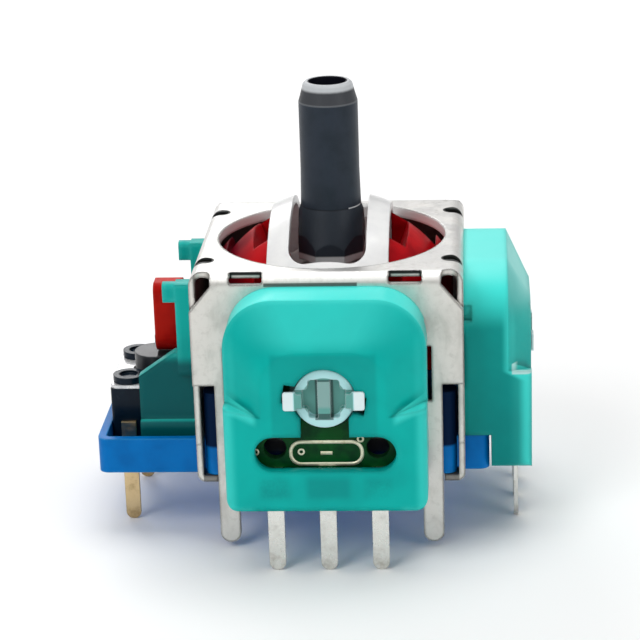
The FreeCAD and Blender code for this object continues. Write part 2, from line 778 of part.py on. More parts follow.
def pot_board():
    points = [(-board_half, board_low), (board_half, board_low), (board_half, board_shoulder - 0.3),
              (board_tongue_half, board_shoulder - 0.3), (board_tongue_half, board_top),
              (-board_tongue_half, board_top), (-board_tongue_half, board_shoulder - 0.3),
              (-board_half, board_shoulder - 0.3)]
    board = prism("y", -board_face, board_wall - board_face, points, [0.2, 0.2, 0.2, 0, 0.2, 0.2, 0, 0.2])
    holes = [rod("y", board_hole_radius, -board_face - 1, 0, 0, gimbal_z)]
    middle = (window_low + window_high) / 2
    for side in (-1, 1):
        holes.append(rod("y", board_post_radius, -board_face - 1, 0, side * board_post_x, middle))
    return board.cut(holes)


def pot_rotor():
    board_back = board_face - board_wall
    flange_face = board_back - flange_gap
    flange_back = flange_face - flange_wall
    nose = rod("y", nose_radius, -nose_face, -flange_back, 0, gimbal_z)
    flange = rod("y", flange_radius, -flange_face, -flange_back, 0, gimbal_z)
    hub = rod("y", hub_outer, -flange_back, -hub_back, 0, gimbal_z)
    parts = [flange, hub]
    socket = nose_face - nose_wall
    cuts = [rod("y", arm_shaft_radius + fit_gap, -hub_back - 0.5 - fit_gap, -hub_back, 0, gimbal_z)]
    half = tongue_width / 2 + fit_gap
    tall = tongue_height / 2 + fit_gap
    cuts.append(box(-half, half, -socket, -hub_back, gimbal_z - tall, gimbal_z + tall))
    for side in (-1, 1):
        lug = rect(side * lug_inner, side * lug_outer, gimbal_z - lug_half, gimbal_z + lug_half)
        parts.append(prism("y", -lug_face, -pot_face - lug_gap, lug, 0.12))
        root = rect(side * (lug_inner - 0.25), side * (nose_radius - 0.02), gimbal_z - lug_half + 0.1,
                    gimbal_z + lug_half - 0.1)
        parts.append(prism("y", -lug_face, -nose_face + 0.2, root))
        # Recess beside the upright bar in the nose's face.
        near = side * bar_half
        mid = side * bar_recess
        out = side * (lug_inner - 0.25)
        top = gimbal_z + bar_recess_half
        low = gimbal_z - bar_recess_half
        recess = [(near, low), (mid, low), (mid, gimbal_z - lug_half), (out, gimbal_z - lug_half),
                  (out, gimbal_z + lug_half), (mid, gimbal_z + lug_half), (mid, top), (near, top)]
        cuts.append(prism("y", -nose_face, bar_recess_depth - nose_face, recess, [0, 0.15, 0.15, 0, 0, 0.15, 0.15, 0]))
    return merged(nose, *parts).cut(cuts)


def pot_wiper():
    # Spring-metal ring on the rotor's flange, open at the top, with two raised fingers.
    back = board_face - board_wall - flange_gap
    ring = rod("y", wiper_outer, -back - wiper_wall, -back, 0, gimbal_z)
    ring = ring.cut(rod("y", wiper_inner, -back - 1, 0, 0, gimbal_z))
    gap = box(-wiper_inner, wiper_inner, -back - 1, 0, gimbal_z + 1, gimbal_z + wiper_outer + 1)
    return ring.cut(gap)


def pot_terminal(i):
    half = pin_width / 2
    side = rect(i * pin_pitch - half, i * pin_pitch + half, pin_tip, pin_top)
    return prism("y", -board_face - pin_wall, -board_face, side, [half - 0.01, half - 0.01, 0, 0])


def write(name, shape):
    shape.exportStep("parts/" + name + ".step")
    print(f"{name:24s} solids {len(shape.Solids)} valid {shape.isValid()} volume {shape.Volume:8.3f}")


def main():
    os.makedirs("parts", exist_ok=True)
    write("cage", cage())
    write("base", base())
    write("upper_arm", upper_arm())
    write("lower_arm", lower_arm())
    write("lever", lever())
    write("lever_pin", lever_pin())
    write("spring_holder", spring_holder())
    write("return_spring", return_spring())
    write("switch_body", switch_body())
    write("switch_cover", switch_cover())
    write("switch_button", switch_button())
    write("switch_dome", switch_dome())
    write("switch_terminal_front", switch_terminal(-1))
    write("switch_terminal_back", switch_terminal(1))
    write("switch_guide", switch_guide())
    pieces = {"housing": pot_housing(), "board": pot_board(), "rotor": pot_rotor(), "wiper": pot_wiper()}
    for i in (-1, 0, 1):
        pieces["terminal_" + str(i + 2)] = pot_terminal(i)
    for place, turn in (("front", 0), ("side", 90)):
        for name, shape in pieces.items():
            copy = shape.copy()
            copy.rotate(V(0, 0, 0), V(0, 0, 1), turn)
            write(place + "_" + name, copy)


main()
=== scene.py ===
import bpy, math
from mathutils import Matrix, Vector


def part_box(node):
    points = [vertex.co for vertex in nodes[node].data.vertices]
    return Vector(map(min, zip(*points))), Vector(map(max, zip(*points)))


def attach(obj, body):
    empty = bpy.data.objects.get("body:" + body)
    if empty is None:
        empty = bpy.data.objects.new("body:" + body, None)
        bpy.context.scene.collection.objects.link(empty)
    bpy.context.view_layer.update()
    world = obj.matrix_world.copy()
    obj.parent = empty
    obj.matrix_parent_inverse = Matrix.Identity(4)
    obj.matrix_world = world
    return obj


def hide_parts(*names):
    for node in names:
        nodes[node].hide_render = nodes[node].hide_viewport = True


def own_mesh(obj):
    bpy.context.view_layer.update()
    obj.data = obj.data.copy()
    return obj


# Analog stick module: a steel cage over two crossed gimbal arms, a bare lever,
# a teal potentiometer at the front and at the side, and a push switch in a blue tray.

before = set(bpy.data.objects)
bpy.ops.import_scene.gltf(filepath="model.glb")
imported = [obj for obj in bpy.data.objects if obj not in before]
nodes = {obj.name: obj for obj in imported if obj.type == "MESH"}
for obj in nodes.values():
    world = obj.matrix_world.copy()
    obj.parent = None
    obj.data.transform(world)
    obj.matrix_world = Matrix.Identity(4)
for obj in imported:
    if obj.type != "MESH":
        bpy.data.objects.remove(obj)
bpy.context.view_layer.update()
mm = 0.001
pivotHeight = 5.6  # millimetres above the base's underside, where the two gimbal axes cross


class Flow:  # a node socket that plain Python maths can be written on
    def __init__(self, tree, socket):
        self.tree = tree
        self.socket = socket

    def node(self, kind, settings=None, values=None, out=0):
        made = self.tree.nodes.new(kind)
        for name, value in (settings or {}).items():
            setattr(made, name, value)
        for name, value in (values or {}).items():
            if isinstance(value, Flow):
                self.tree.links.new(value.socket, made.inputs[name])
            else:
                made.inputs[name].default_value = value
        return Flow(self.tree, made.outputs[out])

    def maths(self, operation, *others, clamp=False):
        return self.node("ShaderNodeMath", {"operation": operation, "use_clamp": clamp},
                         dict(enumerate((self,) + others)))

    def __add__(self, other): return self.maths("ADD", other)
    def __sub__(self, other): return self.maths("SUBTRACT", other)
    def __mul__(self, other): return self.maths("MULTIPLY", other)
    def __pow__(self, other): return self.maths("POWER", other)
    def __abs__(self): return self.maths("ABSOLUTE")
    __radd__ = __add__
    __rmul__ = __mul__
    def __rsub__(self, other): return self.node("ShaderNodeMath", {"operation": "SUBTRACT"}, {0: other, 1: self})


def clamped(flow):
    return flow.maths("ADD", 0.0, clamp=True)


def stepUp(flow, start, end):  # 0 at start, 1 at end, smooth between; end may be the lower one
    return flow.node("ShaderNodeMapRange", {"interpolation_type": "SMOOTHSTEP", "clamp": True},
                     {"Value": flow, "From Min": start, "From Max": end})


def band(flow, rise, fall):  # 1 between two soft limits
    return stepUp(flow, *rise) * stepUp(flow, *fall)


def stripe(flow, middle, half, soft):  # soft-edged stripe across one coordinate
    return stepUp(abs(flow - middle), half + soft, half)


def patch(u, v, centre, half, soft):  # soft-edged rectangle on two coordinates
    return stripe(u, centre[0], half[0], soft) * stripe(v, centre[1], half[1], soft)


def squares(first, *others):  # the distance from the middle, squared
    total = first ** 2.0
    for other in others:
        total = total + other ** 2.0
    return total


def distance(*parts):
    return squares(*parts).maths("SQRT")


def dotProduct(first, second):
    return first.node("ShaderNodeVectorMath", {"operation": "DOT_PRODUCT"}, {0: first, 1: second}, out=1)


def colourOf(value):
    return value if isinstance(value, Flow) else (*value, 1)


def tint(factor, first, second):
    return factor.node("ShaderNodeMix", {"data_type": "RGBA", "clamp_factor": True},
                       {"Factor": factor, 6: colourOf(first), 7: colourOf(second)}, out=2)


class Place:  # the object's own coordinates in millimetres, inside one material
    def __init__(self, tree):
        self.tree = tree
        start = Flow(tree, tree.nodes.new("ShaderNodeTexCoord").outputs["Object"])
        self.point = start.node("ShaderNodeVectorMath", {"operation": "SCALE"}, {0: start, "Scale": 1000.0})
        split = tree.nodes.new("ShaderNodeSeparateXYZ")
        tree.links.new(self.point.socket, split.inputs[0])
        self.x, self.y, self.z = (Flow(tree, split.outputs[i]) for i in range(3))
        self.normal = Flow(tree, tree.nodes.new("ShaderNodeNewGeometry").outputs["Normal"])

    def noise(self, scale, detail=3.0, rough=0.55, stretch=None, distortion=0.0):
        point = self.point
        if stretch:
            point = point.node("ShaderNodeMapping", None, {"Vector": point, "Scale": stretch})
        return point.node("ShaderNodeTexNoise", None, {"Vector": point, "Scale": scale, "Detail": detail,
                                                       "Roughness": rough, "Distortion": distortion})

    def softEdge(self, radius):  # normals as if the edges were rounded
        return self.point.node("ShaderNodeBevel", {"samples": 4}, {"Radius": radius * mm})

    def edge(self, rounded, low=0.01, high=0.12):  # 1 along the sharp edges of the mesh
        return stepUp(1 - dotProduct(rounded, self.normal), low, high)

    def bump(self, height, strength, depth, rounded):
        return height.node("ShaderNodeBump", None,
                           {"Strength": strength, "Distance": depth * mm, "Height": height, "Normal": rounded})

    def facing(self, direction):  # 1 where the surface's own normal points along the direction
        return dotProduct(self.normal, direction)


def material(name, build, finish):  # finish holds what is the same all over, build what varies
    mat = bpy.data.materials.new(name)
    mat.use_nodes = True
    tree = mat.node_tree
    tree.nodes.clear()
    shader = tree.nodes.new("ShaderNodeBsdfPrincipled")
    tree.links.new(shader.outputs[0], tree.nodes.new("ShaderNodeOutputMaterial").inputs[0])
    for socket, value in {**finish, **build(Place(tree))}.items():
        if isinstance(value, Flow):
            tree.links.new(value.socket, shader.inputs[socket])
        else:
            shader.inputs[socket].default_value = value
    return mat


def dress(mat, *names):
    for name in names:
        nodes[name].data.materials.clear()
        nodes[name].data.materials.append(mat)


# In the materials' looks, places are in millimetres, and a pair such as (8.6, 9.3) says where
# a mask starts and where it is full. A patch is its centre, its half size and its softness,
# and a stripe such as the lever's seam is the same on one coordinate.

# Moulded teal plastic of the potentiometers and the guide bracket

tealLook = {
    "lit": (0.0, 0.455, 0.405), "deep": (0.0, 0.385, 0.350), "edge": (0.08, 0.88, 0.80),
    "shadow": (0.0, 0.14, 0.14), "glint": (0.62, 0.93, 0.90),
    "cloudScale": 0.35, "cloud": (0.30, 0.72), "grainScale": 9.0,
    "edgeRadius": 0.45, "edgeSharp": (0.006, 0.10), "edgeAmount": 0.50,
    "roughness": 0.30, "dull": (0.4, 0.75), "dullAmount": 0.10, "grainAmount": 0.04,
    "bumpStrength": 0.05, "bumpDepth": 0.05, "cloudHeight": 3.0,
    "finish": {"IOR": 1.5, "Specular IOR Level": 0.10, "Coat Weight": 0.03, "Coat Roughness": 0.12},
}
potLook = {
    "face": (8.6, 9.3),  # out from the stick's axis
    "edgeSides": (3.3, 3.8), "edgeTop": (8.4, 9.0),
    "thinWall": ((0.0, 5.70), (2.35, 2.0), 0.25), "thinWallAmount": 0.26,
    "marks": [((-2.45, 1.15), (0.5, 0.3), 0.40), ((0.1, 1.15), (0.8, 0.3), 0.32), ((2.45, 1.1), (0.4, 0.3), 0.34)],
    "markSoft": 0.45, "markMottle": (0.40, 0.80), "markGrain": 0.3,
    "creaseEnd": (4.8, 5.60), "creaseSlope": 0.53, "creaseOuter": (3.1, 3.5),
    "creaseLit": ((-0.65, -0.15), (0.02, -0.05)), "creaseLitAmount": 0.6,
    "creaseShade": ((-0.02, 0.03), (0.50, 0.04)), "creaseShadeAmount": 0.5,
    "flank": (4.1, 4.6), "flankAmount": 0.35,
    "cavity": (0.0, 0.016, 0.085), "cavityDepth": (8.6, 8.4), "cavityWidth": (4.3, 4.1),
    "cavityHeight": ((0.9, 1.1), (8.4, 8.2)),
    "topFacing": (0.15, 0.85), "topHeight": (7.6, 8.6), "topAmount": 0.85,
}
sideLook = {
    "foot": (6.5, 1.5), "footAmount": 0.30,
    "nearFacing": (0.5, 0.9), "nearAmount": 0.45,
    "innerEnd": (9.6, 9.1), "innerJog": 0.8, "jogHeight": (4.6, 5.2), "innerTop": (8.6, 7.2),
    "slopeDirection": (0.55, 0, 0.83), "slopeFacing": (0.45, 0.95), "slopeHeight": (7.4, 8.6), "slopeAmount": 0.22,
    "rub": ((9.4, 5.2), (0.5, 0.17), 0.08), "rubDepth": (-4.0, -4.4), "rubAmount": 0.9,
}
guideLook = {
    "shade": (0.0, 0.040, 0.055), "dimTop": 0.15, "dimFall": 0.25, "dimHeight": (7.4, 5.4),
    "nearFacing": (0.3, 0.8), "nearHeight": (5.8, 5.2), "nearAmount": 0.78,
}


def potShades(place, colour, u, outward, mottle):  # what both potentiometers show, with painted shade and painted highlights; u runs across the face
    look, edge, shadow = potLook, tealLook["edge"], tealLook["shadow"]
    width = abs(u)
    face = stepUp(outward, *look["face"])
    # painted shade in a darker rectangle around the rotor; the moulded marks near the foot join the same darkening
    shade = patch(u, place.z, *look["thinWall"]) * look["thinWallAmount"]
    for centre, half, amount in look["marks"]:
        shade = shade + patch(u, place.z, centre, half, look["markSoft"]) * amount * mottle
    colour = tint(shade * face, colour, shadow)
    creaseU, creaseZ = look["creaseEnd"]
    above = place.z - creaseZ + (creaseU - width) * look["creaseSlope"]
    outer = face * stepUp(width, *look["creaseOuter"])
    colour = tint(look["creaseLitAmount"] * outer * band(above, *look["creaseLit"]), colour, edge)
    colour = tint(look["creaseShadeAmount"] * outer * band(above, *look["creaseShade"]), colour, shadow)
    # painted highlight along the outer sides of the face
    colour = tint(look["flankAmount"] * face * stepUp(width, *look["flank"]), colour, edge)
    # painted shade on the housing behind the board, seen through the board's holes
    cavity = stepUp(outward, *look["cavityDepth"]) * stepUp(width, *look["cavityWidth"])
    colour = tint(cavity * band(place.z, *look["cavityHeight"]), colour, look["cavity"])
    # painted highlight on upward-facing surfaces near the top
    top = stepUp(place.facing((0, 0, 1)), *look["topFacing"]) * stepUp(place.z, *look["topHeight"])
    return tint(look["topAmount"] * top, colour, edge)


def sideShades(place, colour):  # painted shade darker towards the foot and the cage, painted highlights on the outer front strip and the chamfer, and one painted glint on the crease's ledge
    look, edge, shadow, glint = sideLook, tealLook["edge"], tealLook["shadow"], tealLook["glint"]
    # painted shade, darker towards the foot
    colour = tint(look["footAmount"] * stepUp(place.z, *look["foot"]), colour, shadow)
    # painted shade on the inner part of the front-facing side, painted highlight on its outer strip
    near = look["nearAmount"] * stepUp(place.facing((0, -1, 0)), *look["nearFacing"])
    jogged = place.x + look["innerJog"] * stepUp(place.z, *look["jogHeight"])
    inner = stepUp(jogged, *look["innerEnd"]) * stepUp(place.z, *look["innerTop"])
    colour = tint(near * inner, colour, shadow)
    colour = tint(near * (1 - inner), colour, edge)
    # painted glint on the upward-facing chamfer
    slope = stepUp(place.facing(look["slopeDirection"]), *look["slopeFacing"]) * stepUp(place.z, *look["slopeHeight"])
    colour = tint(look["slopeAmount"] * slope, colour, glint)
    # painted glint on the crease's ledge near the front corner
    rub = patch(place.x, place.z, *look["rub"]) * stepUp(place.y, *look["rubDepth"])
    return tint(look["rubAmount"] * rub, colour, glint)


def guideShades(place, colour):  # painted shade: the bracket stands in the cage's shade, darker downwards and on its lower front faces
    look = guideLook
    colour = tint(look["dimTop"] + look["dimFall"] * stepUp(place.z, *look["dimHeight"]), colour, tealLook["shadow"])
    near = stepUp(place.facing((0, -1, 0)), *look["nearFacing"]) * stepUp(place.z, *look["nearHeight"])
    return tint(look["nearAmount"] * near, colour, look["shade"])


def tealPlastic(piece):
    def build(place):
        look = tealLook
        cloud = place.noise(look["cloudScale"], detail=3)
        fine = place.noise(look["grainScale"], detail=2)
        rounded = place.softEdge(look["edgeRadius"])
        colour = tint(stepUp(cloud, *look["cloud"]), look["lit"], look["deep"])
        # painted highlight: the teal is painted lighter along its sharp edges, on the pots only near the face's sides
        # and top
        bright = look["edgeAmount"] * place.edge(rounded, *look["edgeSharp"])
        if piece == "Guide":
            colour = guideShades(place, tint(bright, colour, look["edge"]))
        else:
            u, outward = (place.x, -1 * place.y) if piece == "Front" else (place.y, place.x)
            bright = bright * clamped(stepUp(abs(u), *potLook["edgeSides"]) + stepUp(place.z, *potLook["edgeTop"]))
            mottle = stepUp(cloud + potLook["markGrain"] * fine, *potLook["markMottle"])
            colour = potShades(place, tint(bright, colour, look["edge"]), u, outward, mottle)
        if piece == "Side":
            colour = sideShades(place, colour)
        gloss = look["roughness"] + look["dullAmount"] * stepUp(cloud, *look["dull"]) + look["grainAmount"] * fine
        normal = place.bump(fine + look["cloudHeight"] * cloud, look["bumpStrength"], look["bumpDepth"], rounded)
        return {"Base Color": colour, "Roughness": gloss, "Normal": normal}
    return build


for piece, name in (("Front", "front_housing"), ("Side", "side_housing"), ("Guide", "switch_guide")):
    dress(material("teal" + piece, tealPlastic(piece), tealLook["finish"]), name)
print("teal parts dressed")

# Plated steel of the cage, then the terminals and the small metal parts

steelLook = {
    "plate": (0.82, 0.81, 0.79), "wall": (0.72, 0.70, 0.66), "stain": (0.50, 0.48, 0.44),
    "cut": (0.075, 0.07, 0.065), "hole": (0.012, 0.014, 0.013), "lip": (0.86, 0.86, 0.85),
    "level": (0.2, 0.8), "speckScale": 2.6, "speck": (0.50, 0.68), "speckAmount": 0.35,
    "blotchScale": 0.55, "smearScale": 0.9, "smearStretch": (1.0, 1.0, 0.35),
    "worn": (0.45, 0.62), "wornWall": 0.45, "wornTopDrop": 0.08,
    "scratchScale": 1.0, "scratchStretch": (11.0, 1.2, 4.0), "scratch": (0.68, 0.74), "scratchAmount": 0.35,
    "edgeRadius": 0.20, "edgeSharp": (0.02, 0.15), "edgeAmount": 0.95,
    "inside": (6.28, 6.24), "underTop": (10.46, 10.42), "insideAmount": 0.75,
    "topSheet": (10.30, 10.36), "halfMoon": (6.0, 4.15), "halfMoonRadius": (0.53, 0.49),
    "slotWall": ((3.8, -6.02), (0.85, 0.05), 0.03), "slotLight": ((3.8, 10.40), (0.62, 0.12), 0.10),
    "fold": ((-0.7, 10.23), (2.2, 0.06), 0.05), "foldDepth": (-6.3, -6.4), "foldAmount": 0.85,
    "lipRadius": (5.98, 5.90), "lipHeight": (10.0, 10.2),
    "roughness": 0.30, "wornRougher": 0.16, "smearRougher": 0.08, "metallic": 0.75, "lipMetallicDrop": 0.65,
    "smearHeight": 0.8, "bumpStrength": 0.07, "bumpDepth": 0.03,
}


def cageHoles(place, level):  # painted shade in the four half-moon holes and on the two front slots' walls
    look = steelLook
    width = abs(place.x)
    holeX, holeY = look["halfMoon"]
    moons = stepUp(distance(width - holeX, abs(place.y) - holeY), *look["halfMoonRadius"])
    walls = patch(width, place.y, *look["slotWall"]) * (1 - level)
    walls = walls * (1 - patch(width, place.z, *look["slotLight"]))
    return clamped((moons + walls) * stepUp(place.z, *look["topSheet"]))


def platedSteel(place):
    look = steelLook
    rounded = place.softEdge(look["edgeRadius"])
    blotch = place.noise(look["blotchScale"], detail=5, rough=0.6)
    smear = place.noise(look["smearScale"], detail=5, rough=0.65, stretch=look["smearStretch"], distortion=0.8)
    scratch = place.noise(look["scratchScale"], detail=6, rough=0.75, stretch=look["scratchStretch"], distortion=0.6)
    speck = place.noise(look["speckScale"], detail=5, rough=0.7, distortion=0.5)
    level = stepUp(place.facing((0, 0, 1)), *look["level"])
    worn = stepUp(blotch * 0.5 + smear * 0.5, *look["worn"])
    # painted shade: the walls are painted darker than the level top
    colour = tint(level, look["wall"], look["plate"])
    colour = tint(look["speckAmount"] * stepUp(speck, *look["speck"]), colour, look["stain"])
    colour = tint(worn * (look["wornWall"] - look["wornTopDrop"] * level), colour, look["stain"])
    colour = tint(look["scratchAmount"] * stepUp(scratch, *look["scratch"]), colour, look["cut"])
    # painted dark reflection along the sheet's edges
    colour = tint(look["edgeAmount"] * place.edge(rounded, *look["edgeSharp"]), colour, look["cut"])
    # painted shade inside the cage, under the top sheet
    inside = stepUp(abs(place.x), *look["inside"]) * stepUp(abs(place.y), *look["inside"])
    colour = tint(look["insideAmount"] * inside * stepUp(place.z, *look["underTop"]), colour, look["cut"])
    colour = tint(cageHoles(place, level), colour, look["hole"])
    # painted shadow line on the front wall at the bend, above the front pot
    fold = patch(place.x, place.z, *look["fold"]) * stepUp(place.y, *look["foldDepth"])
    colour = tint(look["foldAmount"] * fold, colour, look["cut"])
    # painted highlight: the inner rim of the hole is painted pale and made less metallic
    lip = stepUp(distance(place.x, place.y), *look["lipRadius"]) * stepUp(place.z, *look["lipHeight"]) * (1 - level)
    colour = tint(lip, colour, look["lip"])
    relief = scratch + look["smearHeight"] * smear
    return {"Base Color": colour,
            "Roughness": look["roughness"] + look["wornRougher"] * worn + look["smearRougher"] * smear,
            "Metallic": look["metallic"] - look["lipMetallicDrop"] * lip,
            "Normal": place.bump(relief, look["bumpStrength"], look["bumpDepth"], rounded)}


dress(material("cageSteel", platedSteel, {}), "cage")

pinLooks = {
    "nickelPin": {"clean": (0.76, 0.75, 0.71), "tarnished": (0.50, 0.47, 0.42), "edge": (0.16, 0.15, 0.14),
                  "roughness": 0.25,
                  "nodes": [f"{spot}_terminal_{i}" for spot in ("front", "side") for i in (1, 2, 3)]},
    "bronzePin": {"clean": (0.68, 0.51, 0.28), "tarnished": (0.42, 0.28, 0.13), "edge": (0.12, 0.09, 0.05),
                  "roughness": 0.30,
                  "nodes": ["front_wiper", "side_wiper", "switch_terminal_front", "switch_terminal_back"]},
}
pinWear = {
    "edgeRadius": 0.05, "edgeSharp": (0.05, 0.3), "edgeAmount": 0.8, "tip": (-2.4, -3.2), "tipAmount": 0.15,
    "tarnishScale": 1.4, "tarnish": (0.50, 0.85), "dull": (0.4, 0.8), "dullAmount": 0.30,
    "drawnScale": 1.6, "drawnStretch": (3.0, 3.0, 0.5), "bumpStrength": 0.25, "bumpDepth": 0.04,
}


def terminalMetal(look):
    def build(place):
        wear = pinWear
        rounded = place.softEdge(wear["edgeRadius"])
        drawn = place.noise(wear["drawnScale"], detail=4, rough=0.7, stretch=wear["drawnStretch"])
        tarnish = place.noise(wear["tarnishScale"], detail=5, rough=0.7)
        spread = stepUp(tarnish + wear["tipAmount"] * stepUp(place.z, *wear["tip"]), *wear["tarnish"])
        colour = tint(spread, look["clean"], look["tarnished"])
        # painted dark reflection along the pins' edges
        colour = tint(wear["edgeAmount"] * place.edge(rounded, *wear["edgeSharp"]), colour, look["edge"])
        return {"Base Color": colour,
                "Roughness": look["roughness"] + wear["dullAmount"] * stepUp(tarnish, *wear["dull"]),
                "Normal": place.bump(drawn, wear["bumpStrength"], wear["bumpDepth"], rounded)}
    return build


for name, look in pinLooks.items():
    dress(material(name, terminalMetal(look), {"Metallic": 1.0}), *look["nodes"])

sheetLook = {
    "bright": (0.80, 0.80, 0.80), "dull": (0.58, 0.58, 0.60), "edge": (0.05, 0.05, 0.055),
    "smearScale": 1.8, "smear": (0.4, 0.7), "grainScale": 3.0, "grainStretch": (1.0, 9.0, 1.0),
    "edgeRadius": 0.05, "edgeSharp": (0.02, 0.2), "edgeAmount": 0.85, "roughness": 0.18, "smearRougher": 0.22,
    "bumpStrength": 0.2, "bumpDepth": 0.03, "finish": {"Metallic": 0.55},
}


def brightSheet(place):
    look = sheetLook
    rounded = place.softEdge(look["edgeRadius"])
    smear = place.noise(look["smearScale"], detail=4, rough=0.6)
    grain = place.noise(look["grainScale"], detail=4, rough=0.7, stretch=look["grainStretch"])
    colour = tint(stepUp(smear, *look["smear"]), look["bright"], look["dull"])
    # painted dark reflection along the edges
    return {"Base Color": tint(look["edgeAmount"] * place.edge(rounded, *look["edgeSharp"]), colour, look["edge"]),
            "Roughness": look["roughness"] + look["smearRougher"] * smear,
            "Normal": place.bump(grain, look["bumpStrength"], look["bumpDepth"], rounded)}


sheetSteel = material("sheetSteel", brightSheet, sheetLook["finish"])
dress(sheetSteel, "switch_cover", "switch_dome", "lever_pin", "return_spring")
print("metal parts dressed")

# Moulded parts of the gimbal, the base and the switch

mouldedLooks = {
    "whiteArch": {"node": "upper_arm", "light": (0.84, 0.84, 0.83), "dark": (0.77, 0.77, 0.77), "roughness": 0.22,
                  "edge": (0.93, 0.93, 0.92), "edgeAmount": 0.4, "edgeRadius": 0.10,
                  "finish": {"Coat Weight": 0.25}},
    "blackCase": {"node": "switch_body", "light": (0.002, 0.008, 0.018), "dark": (0.003, 0.011, 0.022),
                  "roughness": 0.16, "edge": (0.05, 0.06, 0.07), "edgeAmount": 0.5, "edgeRadius": 0.09,
                  "finish": {"Specular IOR Level": 0.12, "Coat Weight": 0.06, "Coat Roughness": 0.08}},
    "paleHolder": {"node": "spring_holder", "light": (0.70, 0.70, 0.68), "dark": (0.60, 0.60, 0.58),
                   "roughness": 0.35, "edgeRadius": 0.10, "finish": {}},
    "darkButton": {"node": "switch_button", "light": (0.020, 0.023, 0.028), "dark": (0.014, 0.016, 0.020),
                   "roughness": 0.22, "edge": (0.10, 0.11, 0.12), "edgeAmount": 0.4, "edgeRadius": 0.10,
                   "finish": {"Specular IOR Level": 0.4}},
}
mouldedSkin = {
    "cloudScale": 0.9, "cloud": (0.36, 0.68), "cloudRougher": 0.12, "cloudHeight": 2.0,
    "grainScale": 7.0, "grainRougher": 0.05, "bumpStrength": 0.08, "bumpDepth": 0.05,
}


def moulding(look):
    def build(place):
        skin = mouldedSkin
        rounded = place.softEdge(look["edgeRadius"])
        cloud = place.noise(skin["cloudScale"], detail=4)
        fine = place.noise(skin["grainScale"], detail=3, rough=0.6)
        relief = fine + skin["cloudHeight"] * cloud
        colour = tint(stepUp(cloud, *skin["cloud"]), look["light"], look["dark"])
        # painted highlight along the edges
        if "edge" in look:
            colour = tint(look["edgeAmount"] * place.edge(rounded), colour, look["edge"])
        return {"Base Color": colour,
                "Roughness": look["roughness"] + skin["cloudRougher"] * cloud + skin["grainRougher"] * fine,
                "Normal": place.bump(relief, skin["bumpStrength"], skin["bumpDepth"], rounded)}
    return build


for name, look in mouldedLooks.items():
    dress(material(name, moulding(look), look["finish"]), look["node"])

blueLook = {
    "light": (0.0, 0.165, 0.52), "dark": (0.0, 0.135, 0.44), "edge": (0.05, 0.40, 0.80), "inCage": (0.0, 0.006, 0.030),
    "edgeRadius": 0.14, "edgeAmount": 0.5, "cageWall": (6.7, 6.5), "postFoot": (1.7, 1.9), "inCageAmount": 0.97,
    "cloudScale": 0.6, "cloud": (0.36, 0.68), "grainScale": 7.0, "cloudHeight": 2.0,
    "bumpStrength": 0.06, "bumpDepth": 0.05, "roughness": 0.28, "cloudRougher": 0.12, "inCageRougher": 0.4,
    "finish": {"Specular IOR Level": 0.07, "Coat Weight": 0.02},
}


def bluePlastic(place):  # painted shade on the corner posts, which stand in the dark of the cage, and painted highlights along the edges
    look = blueLook
    rounded = place.softEdge(look["edgeRadius"])
    cloud = place.noise(look["cloudScale"], detail=3)
    relief = place.noise(look["grainScale"]) + look["cloudHeight"] * cloud
    colour = tint(stepUp(cloud, *look["cloud"]), look["light"], look["dark"])
    # painted highlight along the edges
    colour = tint(look["edgeAmount"] * place.edge(rounded), colour, look["edge"])
    # painted shade inside the cage
    inside = stepUp(abs(place.x), *look["cageWall"]) * stepUp(abs(place.y), *look["cageWall"])
    inside = inside * stepUp(place.z, *look["postFoot"])
    return {"Base Color": tint(look["inCageAmount"] * inside, colour, look["inCage"]),
            "Roughness": look["roughness"] + look["cloudRougher"] * cloud + look["inCageRougher"] * inside,
            "Normal": place.bump(relief, look["bumpStrength"], look["bumpDepth"], rounded)}


dress(material("blueBase", bluePlastic, blueLook["finish"]), "base")

redLook = {
    "dome": ((0.50, 0.004, 0.008), (0.30, 0.001, 0.005)), "paddle": ((0.54, 0.012, 0.006), (0.38, 0.004, 0.003)),
    "deep": (0.055, 0.001, 0.010), "shield": (0.52, 0.52, 0.51), "edge": (0.80, 0.08, 0.05),
    "paddleStart": (-6.6, -7.0), "leftShade": (-3.4, -5.0), "leftAmount": 0.75,
    "rightShade": (4.4, 5.6), "rightAmount": 0.30,
    "shieldWidth": (2.3, 2.2), "shieldRadius": (4.68, 4.62), "shieldHeight": (7.5, 8.0), "shieldAmount": 0.9,
    "edgeRadius": 0.20, "edgeAmount": 0.25, "cloudScale": 0.45, "cloud": (0.36, 0.66), "grainScale": 7.0,
    "cloudHeight": 3.0, "grainHeight": 0.4, "bumpStrength": 0.10, "bumpDepth": 0.05,
    "roughness": 0.30, "cloudRougher": 0.14, "grainRougher": 0.03,
    "finish": {"Specular IOR Level": 0.04, "Coat Weight": 0.02, "Coat Roughness": 0.08},
}


